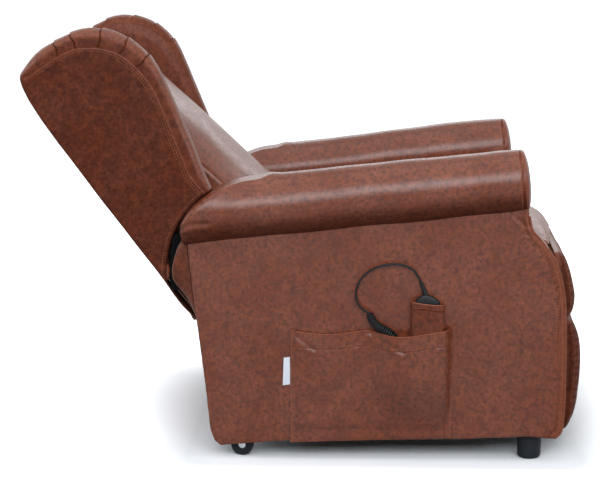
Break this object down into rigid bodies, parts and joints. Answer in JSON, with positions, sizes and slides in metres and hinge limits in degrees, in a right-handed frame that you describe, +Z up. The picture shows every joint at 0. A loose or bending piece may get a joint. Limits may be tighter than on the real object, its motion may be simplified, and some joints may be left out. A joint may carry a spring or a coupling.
{
  "type": "lift recliner chair",
  "caption": "Riser recliner armchair with winged padded back, rolled arms, folding leg rest, tilting lift frame with rear wheels, side pocket and wired hand control.",
  "frame": {"origin": "middle of the chair's footprint box, on the floor", "axes": "-Y is the front, where the sitter's knees are; +Z is up; -X is the sitter's right side, with the pocket and the hand control"},
  "size_m": [0.755, 1.2228, 0.942],
  "materials": {
    "leather_brown": "antiqued brown pull-up leather, mottled, with tan stitching",
    "padded_leather": null,
    "frame_steel": "black powder-coated steel",
    "pin_steel": "bright zinc-plated steel",
    "spring_steel": "oiled dark spring wire",
    "board": "raw birch plywood and timber",
    "black_plastic": "matt black moulded plastic",
    "grey_plastic": "grey moulded button plastic",
    "casing_plastic": "dark grey glass-filled casing plastic",
    "wheel_rubber": "black solid rubber-like wheel",
    "cable_jacket": "black soft cable jacket"
  },
  "bodies": {
    "base": {"floor_side_rails": "frame_steel", "front_cross_tube": "frame_steel", "rear_cross_tube": "frame_steel", "front_feet": "black_plastic", "wheel_brackets": "frame_steel", "wheel_axles": "pin_steel", "lift_pivot_ears": "frame_steel", "base_hinge_pins": "pin_steel", "control_box": "black_plastic", "power_inlet": "black_plastic"},
    "wheel_right": {"wheel_right": "wheel_rubber"},
    "wheel_left": {"wheel_left": "wheel_rubber"},
    "lift_arms": {"front_lift_arms": "frame_steel"},
    "lift_stays": {"rear_lift_arms": "frame_steel"},
    "carriage": {"carriage_side_rails": "frame_steel", "carriage_cross_tubes": "frame_steel", "carriage_pivot_plates": "frame_steel", "carriage_hinge_pins": "pin_steel", "side_board_right": "board", "side_board_left": "board", "side_panel_right": "leather_brown", "side_panel_left": "leather_brown", "arm_roll_right": "padded_leather", "arm_roll_left": "padded_leather", "arm_front_panels": "leather_brown", "arm_inner_panels": "leather_brown", "seat_rails": "board", "seat_springs": "spring_steel", "seat_cushion": "padded_leather", "rear_skirt": "leather_brown", "side_pocket": "leather_brown", "handset_pouch": "leather_brown", "cord_grommet": "black_plastic", "handset_cable": "cable_jacket", "curly_cable": "cable_jacket"},
    "back": {"back_frame_rails": "board", "back_springs": "spring_steel", "back_cushion": "padded_leather", "wing_right": "padded_leather", "wing_left": "padded_leather", "back_panel": "leather_brown", "back_hinge_plates": "frame_steel"},
    "legrest_arms": {"legrest_drive_arms": "frame_steel"},
    "legrest_stays": {"legrest_stay_arms": "frame_steel"},
    "legrest": {"legrest_board": "board", "legrest_upper_pad": "padded_leather", "legrest_lower_pad": "padded_leather", "legrest_brackets": "frame_steel"},
    "lift_casing": {"lift_actuator_body": "casing_plastic"},
    "lift_rod": {"lift_actuator_rod": "pin_steel"},
    "back_casing": {"back_actuator_body": "casing_plastic"},
    "back_rod": {"back_actuator_rod": "pin_steel"},
    "legrest_casing": {"legrest_actuator_body": "casing_plastic"},
    "legrest_rod": {"legrest_actuator_rod": "pin_steel"},
    "handset": {"handset_shell": "black_plastic", "cable_strain_relief": "cable_jacket"},
    "button_back_up": {"button_back_up": "grey_plastic"},
    "button_back_down": {"button_back_down": "grey_plastic"},
    "button_lift_up": {"button_lift_up": "grey_plastic"},
    "button_lift_down": {"button_lift_down": "grey_plastic"}
  },
  "joints": [
    {"name": "lift", "type": "hinge", "parent": "base", "child": "lift_arms", "pos_m": [0, -0.3831, 0.1], "axis": [1, 0, 0], "range_deg": [0, 55]},
    {"name": "carriage_tilt", "type": "hinge", "parent": "lift_arms", "child": "carriage", "pos_m": [0, -0.1331, 0.13], "axis": [1, 0, 0], "range_deg": [-27.05, 0]},
    {"name": "lift_stays", "type": "hinge", "parent": "base", "child": "lift_stays", "pos_m": [0, -0.3432, 0.1336], "axis": [1, 0, 0], "range_deg": [0, 51.94]},
    {"name": "recline", "type": "hinge", "parent": "carriage", "child": "back", "pos_m": [0, 0.0869, 0.411], "axis": [1, 0, 0], "range_deg": [-5, 26.87]},
    {"name": "legrest", "type": "hinge", "parent": "carriage", "child": "legrest_arms", "pos_m": [0, -0.4355, 0.2487], "axis": [1, 0, 0], "range_deg": [0, 35.5]},
    {"name": "legrest_turn", "type": "hinge", "parent": "legrest_arms", "child": "legrest", "pos_m": [0, -0.5221, 0.44], "axis": [1, 0, 0], "range_deg": [-120.55, 0]},
    {"name": "legrest_stays", "type": "hinge", "parent": "carriage", "child": "legrest_stays", "pos_m": [0, -0.4804, 0.1117], "axis": [1, 0, 0], "range_deg": [0, 30.66]},
    {"name": "lift_casing_swing", "type": "hinge", "parent": "base", "child": "lift_casing", "pos_m": [0, 0.0569, 0.095], "axis": [1, 0, 0], "range_deg": [-0.02, 2.28]},
    {"name": "lift_rod_slide", "type": "slide", "parent": "lift_casing", "child": "lift_rod", "axis": [0, -0.9565, 0.2919], "range_m": [0, 0.11889]},
    {"name": "back_casing_swing", "type": "hinge", "parent": "carriage", "child": "back_casing", "pos_m": [0.09, -0.3131, 0.255], "axis": [1, 0, 0], "range_deg": [-0.68, 3.55]},
    {"name": "back_rod_slide", "type": "slide", "parent": "back_casing", "child": "back_rod", "axis": [0, 0.9907, 0.1363], "range_m": [-0.00774, 0.04138]},
    {"name": "legrest_casing_swing", "type": "hinge", "parent": "carriage", "child": "legrest_casing", "pos_m": [-0.09, -0.0231, 0.235], "axis": [1, 0, 0], "range_deg": [-0.02, 2.96]},
    {"name": "legrest_rod_slide", "type": "slide", "parent": "legrest_casing", "child": "legrest_rod", "axis": [0, -0.9605, 0.2783], "range_m": [0, 0.05807]},
    {"name": "wheel_right_spin", "type": "hinge", "parent": "base", "child": "wheel_right", "pos_m": [-0.3115, 0.1349, 0.025], "axis": [1, 0, 0], "continuous": true},
    {"name": "wheel_left_spin", "type": "hinge", "parent": "base", "child": "wheel_left", "pos_m": [0.3115, 0.1349, 0.025], "axis": [1, 0, 0], "continuous": true},
    {"name": "handset_slide", "type": "slide", "parent": "carriage", "child": "handset", "axis": [0, 0, 1], "range_m": [0, 0.12], "deforming": ["handset_cable"]},
    {"name": "button_back_up_press", "type": "slide", "parent": "handset", "child": "button_back_up", "axis": [1, 0, 0], "range_m": [0, 0.0012], "stiffness_N_per_m": 500},
    {"name": "button_back_down_press", "type": "slide", "parent": "handset", "child": "button_back_down", "axis": [1, 0, 0], "range_m": [0, 0.0012], "stiffness_N_per_m": 500},
    {"name": "button_lift_up_press", "type": "slide", "parent": "handset", "child": "button_lift_up", "axis": [1, 0, 0], "range_m": [0, 0.0012], "stiffness_N_per_m": 500},
    {"name": "button_lift_down_press", "type": "slide", "parent": "handset", "child": "button_lift_down", "axis": [1, 0, 0], "range_m": [0, 0.0012], "stiffness_N_per_m": 500}
  ],
  "couplings": [
    {"joint": "carriage_tilt", "follows": "lift", "ratio": -0.49091},
    {"joint": "lift_stays", "follows": "lift", "ratio": 0.94342},
    {"joint": "legrest_turn", "follows": "legrest", "ratio": -3.3944},
    {"joint": "legrest_stays", "follows": "legrest", "ratio": 0.86232},
    {"joint": "lift_casing_swing", "follows": "lift", "ratio": 0.041056},
    {"joint": "lift_rod_slide", "follows": "lift", "m_per_rad": 0.1238},
    {"joint": "back_casing_swing", "follows": "recline", "ratio": 0.13151},
    {"joint": "back_rod_slide", "follows": "recline", "m_per_rad": 0.08814},
    {"joint": "legrest_casing_swing", "follows": "legrest", "ratio": 0.082696},
    {"joint": "legrest_rod_slide", "follows": "legrest", "m_per_rad": 0.093639}
  ]
}
